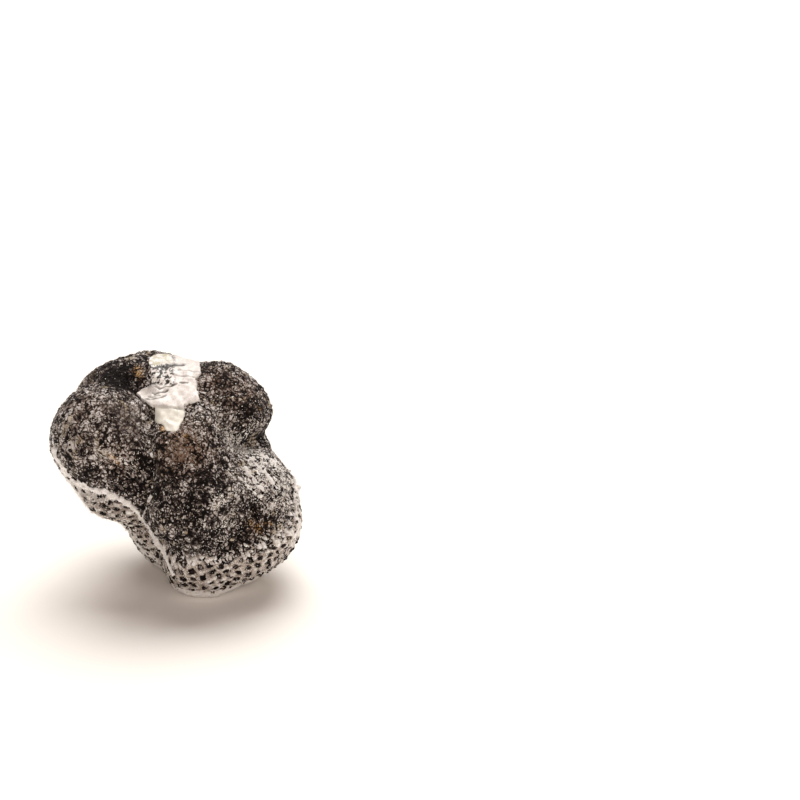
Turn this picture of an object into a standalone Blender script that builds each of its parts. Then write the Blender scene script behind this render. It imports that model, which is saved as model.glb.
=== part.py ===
"""A frozen black truffle: one lobed body covered in warts, and the plate of ice in its saddle.

Metres, +Z up. The truffle rests on the flat spot under its foot, and the middle of that spot is
the origin. Its lobed front, with the crease down it, faces -Y.

The body is a smooth union of turned ellipsoids, the lobes it grew in. Its surface is found along
rays from a core point inside it, and folds, hollows and low swellings are then taken off or put on
along the same rays. Warts cover it: each one is a low six-sided pyramid with a valley round it.
"""
import bpy
import bmesh
import numpy as np

MM = 0.001

# The body's lobes: the middle, then the half widths across, along and up, all in mm, and the
# turn of the lobe in degrees, anticlockwise as seen from the front.
LOBES = {
    "left": ((-16.7, -6.0, 29.0), (9.5, 10.0, 8.8), 35),
    "left_low": ((-12.4, -6.4, 22.1), (9.3, 9.0, 8.5), 25),
    "left_back": ((-12.9, 3.0, 32.2), (11.3, 8.0, 7.7), 25),
    "knob": ((4.9, 0.2, 31.9), (8.8, 9.0, 6.9), -45),
    "knob_root": ((1.0, -2.0, 29.2), (6.6, 9.0, 8.2), 0),
    "brow": ((-2.2, -9.3, 27.1), (8.0, 8.0, 6.0), 0),
    "front": ((-0.4, -13.1, 20.4), (9.4, 9.0, 9.6), 0),
    "shoulder": ((10.3, -5.8, 18.9), (5.6, 9.0, 7.6), 10),
    "shoulder_low": ((9.7, -4.5, 12.4), (7.9, 12.0, 8.0), -20),
    "heel": ((5.3, -5.5, 8.0), (8.1, 10.5, 7.1), 0),
    "foot": ((-0.3, -6.6, 6.8), (6.8, 9.0, 7.6), 0),
    "waist": ((-6.4, -2.0, 13.2), (7.2, 9.0, 7.4), 40),
    "middle": ((-4.5, 1.5, 21.9), (12.0, 13.0, 12.5), 0),
    "saddle": ((-5.8, 3.1, 31.1), (7.5, 9.0, 7.0), 0),
    "bridge": ((-4.3, -4.0, 29.5), (6.5, 7.0, 6.5), 0),
    "back_left": ((-11.0, 7.8, 20.5), (9.8, 8.2, 9.6), 0),
    "back_right": ((1.7, 10.0, 17.0), (10.5, 11.0, 11.0), 0),
    "back_foot": ((-2.8, 4.6, 9.0), (11.3, 9.8, 10.2), 0),
}
LOBE_LEAN = 22.0          # degrees that every lobe leans back from upright
LOBE_BLEND = 1.5 * MM     # how softly lobes run into each other
SKIN_INSET = 0.25 * MM    # the body's surface lies this far inside the lobes' union

CORE = np.array((-3.0, -2.0, 20.0)) * MM
RAY_START = 42.0 * MM
RAY_STEPS = 60
RAY_STEP_SHARE = 0.9

# Folds in the skin: points as bearing and elevation in degrees seen from the core (bearing 0 is
# the front, 90 the right), then the depth and half width of the fold in mm.
FOLDS = {
    "left crease": (((-32, 57), (-23, 40), (-18, 29), (-19, 18), (-18, 7), (-23, -5)), 1.3, 1.2),
    "knob valley": (((54, 70), (46, 58), (48, 46), (55, 38), (72, 29)), 1.0, 2.0),
    "knob cleft": (((62, 34), (78, 30), (95, 27), (112, 24)), 1.7, 1.6),
    "shoulder valley": (((55, 38), (41, 29), (32, 19)), 0.8, 2.3),
    "seam": (((-63, 11), (-59, 3), (-43, 5), (-35, 0), (-31, -17), (-37, -43), (-31, -54)), 1.0, 1.3),
    "back crease": (((170, 64), (163, 42), (157, 20), (166, -4), (158, -30)), 1.3, 1.5),
    "left gully": (((-96, 44), (-110, 20), (-106, -6), (-118, -26)), 1.1, 1.5),
    "right gully": (((112, 24), (118, 2), (108, -20)), 1.0, 1.7),
}

# Round hollows: bearing and elevation in degrees, then depth and half width in mm.
HOLLOWS = {
    "upper hollow": ((-75, 64), 2.8, 3.0),
    "frosted dent": ((28, 41), 0.9, 1.3),
    "broken wart hole": ((44, -4), 1.6, 1.2),
    "back dent": ((135, -12), 1.3, 2.4),
    "left dent": ((-140, 34), 1.2, 2.6),
}

# Low swellings of the skin, a seeded sum of waves.
SWELL_SEED = 11
SWELL_WAVES = 14
SWELL_LENGTH = 8.0 * MM
SWELL_HEIGHT = 0.16 * MM

# Warts, in mm where a length.
WART_SEED = 5
WART_COUNT = 1560
WART_SPACING_ROUNDS = 45
WART_REACH = 3.2 * MM     # warts nearer than this push each other apart
WART_PUSH = 0.30 * MM
WART_TIP = 0.34 * MM      # tip above the skin
WART_VALLEY = 0.28 * MM   # valley below the skin
WART_SPREAD = 0.35        # share by which tips differ in height

SHARP_EDGE = np.radians(20.0)

# The plate of ice that fills the saddle between the upper lobes.
PLATE_BEARING = -20.0     # the plate's own axis, in degrees seen from the core
PLATE_ELEVATION = 72.0
PLATE_ARM = 18.0          # mm from the core at which the outline below is measured
PLATE_MIDDLE = (0.0, 2.5)
PLATE_EDGE = (            # angle in degrees from the right, and the edge's distance in mm
    (-180, 4.6), (-157, 4.8), (-149, 6.2), (-137, 6.7), (-123, 6.4), (-109, 6.8), (-99, 8.0),
    (-88, 8.9), (-76, 9.5), (-69, 8.5), (-61, 6.8), (-47, 5.1), (-36, 5.0), (-20, 6.2), (-4, 4.9),
    (9, 4.6), (30, 5.8), (48, 7.4), (71, 9.0), (96, 10.0), (118, 10.6), (138, 10.6), (153, 7.0),
    (169, 5.3), (180, 4.6),
)
PLATE_BED = 1.0 * MM      # how deep the skin dips under the plate
PLATE_BED_SLOPE = 3.0 * MM
PLATE_GAP = 0.35 * MM     # clear of the level skin beneath
PLATE_THICKNESS = 0.9 * MM
PLATE_RIM = 0.25          # the rim's thickness as a share of the middle's
PLATE_SPOKES = 48
PLATE_RINGS = 11          # from the middle to the rim
PLATE_STREAK = 0.16 * MM  # folds across the ice
PLATE_STREAK_LENGTH = 2.6 * MM
PLATE_MARGIN = 1.6 * MM   # warts lie flat this far outside the plate


def heading(bearing, elevation):
    """Unit vector (sin b cos e, -cos b cos e, sin e) for a bearing b and an elevation e."""
    b, e = np.radians(bearing), np.radians(elevation)
    return np.array((np.sin(b) * np.cos(e), -np.cos(b) * np.cos(e), np.sin(e)))


def lobe_axes(turn):
    """A lobe's across, along and up axes: leant back by LOBE_LEAN, then turned in that plane."""
    lean, angle = np.radians(LOBE_LEAN), np.radians(turn)
    right = np.array((1.0, 0.0, 0.0))
    up = np.array((0.0, np.sin(lean), np.cos(lean)))
    across = np.cos(angle) * right + np.sin(angle) * up
    along = np.array((0.0, np.cos(lean), -np.sin(lean)))
    return across, along, np.cos(angle) * up - np.sin(angle) * right


def dot(vectors, axis):
    """Dot product of each row with one axis."""
    return vectors[:, 0] * axis[0] + vectors[:, 1] * axis[1] + vectors[:, 2] * axis[2]


def lobes_distance(points):
    """Distance to the lobes' smooth union, -blend ln(sum of exp(-d / blend)).

    For each ellipsoid d = k (k - 1) / g, with k = |q / r| and g = |q / r^2|.
    """
    total = np.zeros(len(points))
    for middle, radii, turn in LOBES.values():
        offset = points - np.array(middle) * MM
        k_squared = np.zeros(len(points))
        g_squared = np.zeros(len(points))
        for axis, radius in zip(lobe_axes(turn), radii):
            q = dot(offset, axis)
            k_squared += (q / (radius * MM)) ** 2
            g_squared += (q / (radius * MM) ** 2) ** 2
        k = np.sqrt(k_squared)
        distance = k * (k - 1.0) / np.sqrt(g_squared)
        total += np.exp(-distance / LOBE_BLEND)
    return -LOBE_BLEND * np.log(total)


def reach(directions):
    """How far the lobes' surface lies from the core along each direction, marched inwards."""
    length = np.full(len(directions), RAY_START)
    for _ in range(RAY_STEPS):
        length -= RAY_STEP_SHARE * lobes_distance(CORE + directions * length[:, None])
    return length - SKIN_INSET


def line_distance(directions, line):
    """Least distance from each direction to a bent line of unit directions."""
    nearest = np.full(len(directions), np.inf)
    for start, end in zip(line[:-1], line[1:]):
        span = end - start
        share = np.clip(dot(directions - start, span) / (span @ span), 0.0, 1.0)
        gap = directions - start - share[:, None] * span
        nearest = np.minimum(nearest, np.sqrt((gap ** 2).sum(axis=1)))
    return nearest


def swelling(points):
    """Sum of seeded sine waves of one length in all directions."""
    draw = np.random.default_rng(SWELL_SEED)
    height = np.zeros(len(points))
    for _ in range(SWELL_WAVES):
        axis = draw.normal(size=3)
        axis /= np.sqrt((axis ** 2).sum())
        phase = draw.uniform(0.0, 2.0 * np.pi)
        height += np.sin(2.0 * np.pi * dot(points, axis) / SWELL_LENGTH + phase)
    return SWELL_HEIGHT * height / np.sqrt(SWELL_WAVES / 2.0)


def plate_axes():
    """The ice plate's own axes: out of the truffle, to the right, and back over it."""
    out = heading(PLATE_BEARING, PLATE_ELEVATION)
    right = heading(PLATE_BEARING + 90.0, 0.0)
    return out, right, np.cross(out, right)


def plate_edge(angle):
    """The plate's edge distance in metres at an angle in degrees, straight between its points."""
    angles, distances = zip(*PLATE_EDGE)
    return np.interp(angle, angles, distances) * MM


def beyond_plate(directions):
    """How far outside the ice plate's edge each direction passes, less than zero inside it."""
    out, right, back = plate_axes()
    facing = np.maximum(dot(directions, out), 0.05)
    u = dot(directions, right) / facing * PLATE_ARM * MM - PLATE_MIDDLE[0] * MM
    v = dot(directions, back) / facing * PLATE_ARM * MM - PLATE_MIDDLE[1] * MM
    return np.hypot(u, v) - plate_edge(np.degrees(np.arctan2(v, u)))


def skin_reach(directions):
    """The skin's distance from the core: the lobes less folds and hollows, plus swellings.

    A fold or hollow of depth a and half width w takes off a exp(-(s / w)^2) at a distance s.
    Inside the ice plate's edge the skin dips to the plate's bed, along 3 t^2 - 2 t^3.
    """
    plain = reach(directions)
    length = plain + swelling(CORE + directions * plain[:, None])
    for points, depth, width in FOLDS.values():
        line = [heading(bearing, elevation) for bearing, elevation in points]
        s = line_distance(directions, line) * plain
        length -= depth * MM * np.exp(-(s / (width * MM)) ** 2)
    for place, depth, width in HOLLOWS.values():
        gap = directions - heading(*place)
        s = np.sqrt((gap ** 2).sum(axis=1)) * plain
        length -= depth * MM * np.exp(-(s / (width * MM)) ** 2)
    t = np.clip(-beyond_plate(directions) / PLATE_BED_SLOPE, 0.0, 1.0)
    return length - PLATE_BED * t ** 2 * (3.0 - 2.0 * t)


def on_ground(points):
    """Points with the flat resting spot pressed level: nothing lies below z = 0."""
    level = points.copy()
    level[:, 2] = np.maximum(level[:, 2], 0.0)
    return level


def wart_directions():
    """Seeded directions to the warts' tips, pushed apart over the skin until evenly spaced."""
    draw = np.random.default_rng(WART_SEED)
    directions = draw.normal(size=(WART_COUNT, 3))
    directions /= np.sqrt((directions ** 2).sum(axis=1))[:, None]
    for step in range(WART_SPACING_ROUNDS):
        if step % 5 == 0:
            length = reach(directions)
        points = directions * length[:, None]
        push = np.zeros_like(points)
        for row, point in enumerate(points):
            apart = point - points
            distance = np.sqrt((apart ** 2).sum(axis=1))
            near = (distance < WART_REACH) & (distance > 0.0)
            pull = (1.0 - distance[near] / WART_REACH) ** 2 / distance[near]
            push[row] = (apart[near] * pull[:, None]).sum(axis=0)
        points += WART_PUSH * push
        directions = points / np.sqrt((points ** 2).sum(axis=1))[:, None]
    return np.round(directions, 6)


def material(name, colour, roughness):
    """A Principled material from a linear colour and a roughness."""
    surface = bpy.data.materials.new(name)
    surface.use_nodes = True
    shader = surface.node_tree.nodes["Principled BSDF"]
    shader.inputs["Base Color"].default_value = (*colour, 1.0)
    shader.inputs["Roughness"].default_value = roughness
    return surface


def add_object(name, shape, surface, collection):
    """Put a finished bmesh into the collection, smooth but for edges sharper than SHARP_EDGE."""
    mesh = bpy.data.meshes.new(name)
    shape.to_mesh(mesh)
    shape.free()
    mesh.shade_smooth()
    mesh.set_sharp_from_angle(angle=SHARP_EDGE)
    mesh.materials.append(surface)
    collection.objects.link(bpy.data.objects.new(name, mesh))


def place(vertices, points):
    """Move each bmesh vertex to its row of points."""
    for vertex, point in zip(vertices, points):
        vertex.co = point


def make_truffle(collection):
    """The body: a hull over the wart tips, cut so that valleys ring each tip, laid on the skin."""
    shape = bmesh.new()
    for direction in wart_directions():
        shape.verts.new(direction)
    bmesh.ops.convex_hull(shape, input=shape.verts)
    tip_edges = list(shape.edges)
    bmesh.ops.poke(shape, faces=shape.faces)
    bmesh.ops.rotate_edges(shape, edges=tip_edges)
    shape.verts.ensure_lookup_table()
    bmesh.ops.recalc_face_normals(shape, faces=shape.faces)

    directions = np.array([vertex.co.normalized() for vertex in shape.verts])
    is_tip = np.arange(len(directions)) < WART_COUNT
    draw = np.random.default_rng(WART_SEED)
    tip = WART_TIP * (1.0 + WART_SPREAD * draw.uniform(-1.0, 1.0, len(directions)))
    relief = np.where(is_tip, tip, -WART_VALLEY)
    open_skin = np.clip(beyond_plate(directions) / PLATE_MARGIN, 0.0, 1.0)
    length = skin_reach(directions) + relief * open_skin
    place(shape.verts, on_ground(CORE + directions * length[:, None]))
    add_object("truffle", shape, material("truffle_skin", (0.055, 0.040, 0.031), 0.75), collection)


def make_ice_plate(collection):
    """The ice: a ball pressed to a plate, its poles in the middle and its equator at the rim."""
    shape = bmesh.new()
    bmesh.ops.create_uvsphere(shape, u_segments=PLATE_SPOKES, v_segments=2 * PLATE_RINGS, radius=1.0)
    ball = np.array([vertex.co for vertex in shape.verts])
    polar = np.degrees(np.arctan2(np.hypot(ball[:, 0], ball[:, 1]), np.abs(ball[:, 2])))
    share = polar / 90.0
    angle = np.arctan2(ball[:, 1], ball[:, 0])
    spoke = share * plate_edge(np.degrees(angle))
    u = spoke * np.cos(angle) + PLATE_MIDDLE[0] * MM
    v = spoke * np.sin(angle) + PLATE_MIDDLE[1] * MM

    out, right, back = plate_axes()
    directions = PLATE_ARM * MM * out + u[:, None] * right + v[:, None] * back
    directions /= np.sqrt((directions ** 2).sum(axis=1))[:, None]
    thickness = PLATE_THICKNESS * (PLATE_RIM + (1.0 - PLATE_RIM) * (1.0 - share ** 6))
    streak = PLATE_STREAK * np.sin(2.0 * np.pi * v / PLATE_STREAK_LENGTH) * (1.0 - share ** 4)
    top = np.sign(np.round(ball[:, 2], 4))
    height = PLATE_GAP + 0.5 * thickness * (1.0 + top) + streak * (top > 0.0)
    length = skin_reach(directions) + height
    place(shape.verts, CORE + directions * length[:, None])
    bmesh.ops.recalc_face_normals(shape, faces=shape.faces)
    add_object("ice_plate", shape, material("ice", (0.78, 0.76, 0.71), 0.45), collection)


for old in list(bpy.data.objects):
    bpy.data.objects.remove(old, do_unlink=True)
truffle_collection = bpy.data.collections.new("frozen_truffle")
bpy.context.scene.collection.children.link(truffle_collection)
make_truffle(truffle_collection)
make_ice_plate(truffle_collection)
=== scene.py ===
"""Frozen black truffle: warted skin, frost in its valleys, and a plate of ice in its saddle."""

import bpy
import numpy as np
from mathutils import Matrix, Vector


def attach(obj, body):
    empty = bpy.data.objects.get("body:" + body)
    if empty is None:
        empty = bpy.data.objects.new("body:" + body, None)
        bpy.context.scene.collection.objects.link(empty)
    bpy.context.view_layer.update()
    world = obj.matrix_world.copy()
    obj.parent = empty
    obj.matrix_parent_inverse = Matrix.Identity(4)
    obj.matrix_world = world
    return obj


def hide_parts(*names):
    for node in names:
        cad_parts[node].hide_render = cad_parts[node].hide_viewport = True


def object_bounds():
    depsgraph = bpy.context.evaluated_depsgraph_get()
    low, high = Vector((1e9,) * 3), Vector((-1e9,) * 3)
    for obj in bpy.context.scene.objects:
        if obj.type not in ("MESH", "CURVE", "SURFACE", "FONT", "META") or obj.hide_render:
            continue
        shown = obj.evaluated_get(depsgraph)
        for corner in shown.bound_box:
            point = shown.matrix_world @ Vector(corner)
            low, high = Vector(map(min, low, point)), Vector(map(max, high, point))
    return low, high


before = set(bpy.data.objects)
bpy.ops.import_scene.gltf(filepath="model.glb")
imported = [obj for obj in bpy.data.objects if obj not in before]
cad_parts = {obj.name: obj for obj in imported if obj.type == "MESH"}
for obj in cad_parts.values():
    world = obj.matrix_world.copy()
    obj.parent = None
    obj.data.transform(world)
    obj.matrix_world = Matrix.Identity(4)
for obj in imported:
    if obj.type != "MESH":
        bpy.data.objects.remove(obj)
cad_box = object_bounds()

# The viewpoint. The photograph looks along +Y and 22 degrees down through a long lens. The truffle
# is low on the left of the frame, so the camera's axis passes above it and to its right.
MM = 0.001
LENS = 135.0
SENSOR = 36.0
FRAME_PIXELS = 800
PIXEL = 0.18 * MM             # what one pixel of the frame spans at the truffle
CAMERA_DOWN = np.radians(22.0)
ORIGIN_PIXEL = (204.7, 570.8)  # where the middle of the resting spot is seen

focal_pixels = LENS / SENSOR * FRAME_PIXELS
view_distance = PIXEL * focal_pixels
view_right = np.array((1.0, 0.0, 0.0))
view_up = np.array((0.0, np.sin(CAMERA_DOWN), np.cos(CAMERA_DOWN)))
view_back = np.cross(view_right, view_up)
half_frame = FRAME_PIXELS / 2
eye = (
    view_distance * view_back
    + (half_frame - ORIGIN_PIXEL[0]) * PIXEL * view_right
    + (ORIGIN_PIXEL[1] - half_frame) * PIXEL * view_up
)
camera_data = bpy.data.cameras.new("camera")
camera_data.lens = LENS
camera_data.sensor_width = SENSOR
camera_data.clip_start = 0.01
camera = bpy.data.objects.new("camera", camera_data)
camera.matrix_world = Matrix.Translation(Vector(eye)) @ Matrix(
    (view_right, view_up, view_back)
).transposed().to_4x4()
bpy.context.scene.collection.objects.link(camera)
bpy.context.scene.camera = camera

# The floor: a white sweep of paper that the truffle rests on. It is far larger than the view, so
# that no edge of it shows.
FLOOR_SIZE = 6.0
FLOOR_COLOUR = "FBF8F3"
FLOOR_DROP = 0.02 * MM        # keeps the floor's face clear of the truffle's own


def linear(colour):
    """Linear red, green, blue and alpha of an sRGB hex colour."""
    parts = np.array([int(colour[i:i + 2], 16) for i in (0, 2, 4)]) / 255.0
    curve = np.where(parts <= 0.04045, parts / 12.92, ((parts + 0.055) / 1.055) ** 2.4)
    return (*curve.tolist(), 1.0)


def new_material(name):
    """A material that has no nodes yet."""
    material = bpy.data.materials.new(name)
    material.use_nodes = True
    material.node_tree.nodes.clear()
    return material


def node(material, kind, *values, **named):
    """Adds a node to a material and returns its outputs. The values go to its sockets in order.

    A named value goes to the socket in use with that label, in lower case with underscores, or
    else to the property. A string for a socket is a hex colour, and stops are a colour ramp's.
    """
    made = material.node_tree.nodes.new("ShaderNode" + kind)
    for name, value in [*named.items(), *enumerate(values)]:
        sockets = dict(enumerate(made.inputs))
        sockets.update((s.name.lower().replace(" ", "_"), s) for s in made.inputs if s.enabled)
        if name == "stops":
            elements = made.color_ramp.elements
            while len(elements) < len(value):
                elements.new(0.5)
            for element, (position, colour) in zip(elements, value):
                element.position = position
                element.color = linear(colour)
        elif name not in sockets:
            setattr(made, name, value)
        elif isinstance(value, bpy.types.NodeSocket):
            material.node_tree.links.new(value, sockets[name])
        else:
            sockets[name].default_value = linear(value) if isinstance(value, str) else value
    return made.outputs


bpy.ops.mesh.primitive_plane_add(size=FLOOR_SIZE, location=(0, 0, -FLOOR_DROP))
floor = bpy.context.object
floor.name = "floor"
paper = new_material("white_paper_sweep")      # matt, so that only the soft shadow shows on it
paper_shader = node(
    paper, "BsdfPrincipled", base_color=FLOOR_COLOUR, roughness=0.9, specular_ior_level=0.1,
)
node(paper, "OutputMaterial", paper_shader[0])
floor.data.materials.append(paper)

# The light: one broad soft light above and behind, which throws the soft shadow down and to the
# front, a weaker one from the front that shows the underside, and a dim warm white room.
KEY_TOWARDS = (0.035, 0.24, 0.50)
KEY_STRENGTH = 3.5
KEY_WIDTH = 56.0              # degrees that the light spans, seen from the truffle
KEY_COLOUR = "FFFCF9"
FILL_TOWARDS = (0.22, -0.88, 0.34)
FILL_STRENGTH = 1.3
FILL_WIDTH = 70.0
FILL_COLOUR = "FFF3EB"
ROOM_LIGHT = 0.20
ROOM_COLOUR = "FFEADF"


def far_light(name, towards, strength, width, colour):
    """A far light that shines from a direction and spans a width in degrees."""
    data = bpy.data.lights.new(name, "SUN")
    data.angle = np.radians(width)
    data.energy = strength
    data.color = linear(colour)[:3]
    lamp = bpy.data.objects.new(name, data)
    lamp.rotation_euler = (-Vector(towards)).to_track_quat("-Z", "Y").to_euler()
    bpy.context.scene.collection.objects.link(lamp)


far_light("key_light", KEY_TOWARDS, KEY_STRENGTH, KEY_WIDTH, KEY_COLOUR)
far_light("front_fill", FILL_TOWARDS, FILL_STRENGTH, FILL_WIDTH, FILL_COLOUR)
room = bpy.data.worlds.new("white_room")
room.use_nodes = True
room.node_tree.nodes["Background"].inputs["Color"].default_value = linear(ROOM_COLOUR)
room.node_tree.nodes["Background"].inputs["Strength"].default_value = ROOM_LIGHT
bpy.context.scene.world = room
bpy.context.scene.view_settings.view_transform = "Standard"

# The truffle's body: the rough black skin of a winter truffle, grown in lobes with folds between
# them. Its form is the smooth union of the lobes below, found along rays from a core inside it.
LOBES = {                     # middle and half widths in mm, turn in degrees, as grown
    "left": ((-16.7, -6.0, 29.0), (9.5, 10.0, 8.8), 35),
    "left_low": ((-12.4, -6.4, 22.1), (9.3, 9.0, 8.5), 25),
    "left_back": ((-12.9, 3.0, 32.2), (11.3, 8.0, 7.7), 25),
    "knob": ((4.9, 0.2, 31.9), (8.8, 9.0, 6.9), -45),
    "knob_root": ((1.0, -2.0, 29.2), (6.6, 9.0, 8.2), 0),
    "brow": ((-2.2, -9.3, 27.1), (8.0, 8.0, 6.0), 0),
    "front": ((-0.4, -13.1, 20.4), (9.4, 9.0, 9.6), 0),
    "shoulder": ((10.3, -5.8, 18.9), (5.6, 9.0, 7.6), 10),
    "shoulder_low": ((9.7, -4.5, 12.4), (7.9, 12.0, 8.0), -20),
    "heel": ((5.3, -5.5, 8.0), (8.1, 10.5, 7.1), 0),
    "foot": ((-0.3, -6.6, 6.8), (6.8, 9.0, 7.6), 0),
    "waist": ((-6.4, -2.0, 13.2), (7.2, 9.0, 7.4), 40),
    "middle": ((-4.5, 1.5, 21.9), (12.0, 13.0, 12.5), 0),
    "saddle": ((-5.8, 3.1, 31.1), (7.5, 9.0, 7.0), 0),
    "bridge": ((-4.3, -4.0, 29.5), (6.5, 7.0, 6.5), 0),
    "back_left": ((-11.0, 7.8, 20.5), (9.8, 8.2, 9.6), 0),
    "back_right": ((1.7, 10.0, 17.0), (10.5, 11.0, 11.0), 0),
    "back_foot": ((-2.8, 4.6, 9.0), (11.3, 9.8, 10.2), 0),
}
LOBE_LEAN = 22.0              # degrees that they lean back
LOBE_BLEND = 1.5 * MM         # how softly they run together
SKIN_INSET = 0.25 * MM
CORE = np.array((-3.0, -2.0, 20.0)) * MM
RAY_START = 42.0 * MM
RAY_STEPS = 60
RAY_STEP_SHARE = 0.9

FOLDS = {                     # bearing and elevation in degrees, then depth and half width in mm
    "left crease": (((-32, 57), (-23, 40), (-18, 29), (-19, 18), (-18, 7), (-23, -5)), 1.3, 1.2),
    "knob valley": (((54, 70), (46, 58), (48, 46), (55, 38), (72, 29)), 1.0, 2.0),
    "knob cleft": (((62, 34), (78, 30), (95, 27), (112, 24)), 1.7, 1.6),
    "shoulder valley": (((55, 38), (41, 29), (32, 19)), 0.8, 2.3),
    "seam": (((-63, 11), (-59, 3), (-43, 5), (-35, 0), (-31, -17), (-37, -43), (-31, -54)), 1.0, 1.3),
    "back crease": (((170, 64), (163, 42), (157, 20), (166, -4), (158, -30)), 1.3, 1.5),
    "left gully": (((-96, 44), (-110, 20), (-106, -6), (-118, -26)), 1.1, 1.5),
    "right gully": (((112, 24), (118, 2), (108, -20)), 1.0, 1.7),
}
HOLLOWS = {                   # bearing and elevation in degrees, then depth and half width in mm
    "upper hollow": ((-75, 64), 2.8, 3.0),
    "frosted dent": ((28, 41), 0.9, 1.3),
    "broken wart hole": ((44, -4), 1.6, 1.2),
    "back dent": ((135, -12), 1.3, 2.4),
    "left dent": ((-140, 34), 1.2, 2.6),
}
SWELL_SEED = 11
SWELL_WAVES = 14
SWELL_LENGTH = 8.0 * MM
SWELL_HEIGHT = 0.16 * MM

WART_SEED = 5
WART_COUNT = 1560
WART_SPACING_ROUNDS = 45
WART_REACH = 3.2 * MM         # within which warts push each other apart
WART_PUSH = 0.30 * MM
WART_TIP = 0.34 * MM          # a tip's height and a valley's depth
WART_VALLEY = 0.28 * MM
WART_SPREAD = 0.35
WART_ROUNDNESS = 1.7          # the power that rounds a wart's crown
WART_WORN = 0.62              # how much lower the warts are where they are worn, on the upper side
WORN_FROM = -0.35             # a direction's height, -1 to 1, where the wear starts
WORN_OVER = 0.5               # and the height over which it sets in

PLATE_BEARING = -20.0
PLATE_ELEVATION = 72.0
PLATE_ARM = 18.0              # mm from the core to the plane that its edge is drawn in
PLATE_MIDDLE = (0.0, 2.5)     # right and back in that plane, in mm
PLATE_EDGE = (                # angle in degrees from the right, and the edge's distance in mm
    (-180, 5.0), (-175, 6.9), (-167, 7.6), (-161, 7.2), (-142, 6.1), (-119, 5.9), (-107, 5.9),
    (-104, 7.2), (-101, 8.2), (-95, 8.7), (-86, 9.0), (-82, 9.6), (-79, 10.7), (-71, 11.2),
    (-64, 10.8), (-62, 9.2), (-57, 8.4), (-52, 7.1), (-47, 5.4), (-35, 5.0), (-18, 6.3), (-8, 5.0),
    (12, 4.3), (30, 4.1), (38, 4.4), (44, 5.2), (57, 5.8), (67, 6.6), (80, 8.8), (93, 10.2),
    (111, 10.8), (122, 10.1), (136, 9.0), (151, 7.0), (156, 6.1), (163, 5.3), (173, 5.1), (180, 5.0),
)
PLATE_BED = 1.0 * MM          # how far the skin is sunk under it
PLATE_BED_SLOPE = 3.0 * MM
PLATE_MARGIN = 1.6 * MM       # outside its edge, over which the warts rise

GRAIN_SIZE = 0.72 * MM        # the small granules that cover every wart
GRAIN_HEIGHT = 0.20 * MM
SKIN_CLEAR = 0.04 * MM        # keeps the skin at the resting spot clear of the frost's lowest face
CUBE_CELLS = 127


def heading(bearing, elevation):
    """Unit vector (sin b cos e, -cos b cos e, sin e) for a bearing b and an elevation e."""
    b, e = np.radians(bearing), np.radians(elevation)
    return np.array((np.sin(b) * np.cos(e), -np.cos(b) * np.cos(e), np.sin(e)))


def dot(vectors, axis):
    """Dot product of each row with one axis."""
    return vectors[:, 0] * axis[0] + vectors[:, 1] * axis[1] + vectors[:, 2] * axis[2]


def lobe_axes(turn):
    """A lobe's across, along and up axes: leant back by LOBE_LEAN, then turned in that plane."""
    lean, angle = np.radians(LOBE_LEAN), np.radians(turn)
    right = np.array((1.0, 0.0, 0.0))
    up = np.array((0.0, np.sin(lean), np.cos(lean)))
    across = np.cos(angle) * right + np.sin(angle) * up
    along = np.array((0.0, np.cos(lean), -np.sin(lean)))
    return across, along, np.cos(angle) * up - np.sin(angle) * right


def lobes_distance(points):
    """Distance to the lobes' smooth union, -blend ln(sum of exp(-d / blend)).

    For each ellipsoid d = k (k - 1) / g, with k = |q / r| and g = |q / r^2|.
    """
    total = np.zeros(len(points))
    for middle, radii, turn in LOBES.values():
        offset = points - np.array(middle) * MM
        k_squared = np.zeros(len(points))
        g_squared = np.zeros(len(points))
        for axis, radius in zip(lobe_axes(turn), radii):
            q = dot(offset, axis)
            k_squared += (q / (radius * MM)) ** 2
            g_squared += (q / (radius * MM) ** 2) ** 2
        k = np.sqrt(k_squared)
        distance = k * (k - 1.0) / np.sqrt(g_squared)
        total += np.exp(-distance / LOBE_BLEND)
    return -LOBE_BLEND * np.log(total)


def reach(directions):
    """How far the lobes' surface lies from the core along each direction, marched inwards."""
    length = np.full(len(directions), RAY_START)
    for _ in range(RAY_STEPS):
        length -= RAY_STEP_SHARE * lobes_distance(CORE + directions * length[:, None])
    return length - SKIN_INSET


def line_distance(directions, line):
    """Least distance from each direction to a bent line of unit directions."""
    nearest = np.full(len(directions), np.inf)
    for start, end in zip(line[:-1], line[1:]):
        span = end - start
        share = np.clip(dot(directions - start, span) / (span @ span), 0.0, 1.0)
        gap = directions - start - share[:, None] * span
        nearest = np.minimum(nearest, np.sqrt((gap ** 2).sum(axis=1)))
    return nearest


def waves(points, seed, count, length):
    """Sum of seeded sine waves of one length in all directions, with a spread of about one."""
    draw = np.random.default_rng(seed)
    height = np.zeros(len(points))
    for _ in range(count):
        axis = draw.normal(size=3)
        axis /= np.sqrt((axis ** 2).sum())
        phase = draw.uniform(0.0, 2.0 * np.pi)
        height += np.sin(2.0 * np.pi * dot(points, axis) / length + phase)
    return height / np.sqrt(count / 2.0)


def plate_axes():
    """The ice plate's own axes: out of the truffle, to the right, and back over it."""
    out = heading(PLATE_BEARING, PLATE_ELEVATION)
    right = heading(PLATE_BEARING + 90.0, 0.0)
    return out, right, np.cross(out, right)


def plate_edge(angle):
    """The plate's edge distance in metres at an angle in degrees, straight between its points."""
    angles, distances = zip(*PLATE_EDGE)
    return np.interp(angle, angles, distances) * MM


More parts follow.
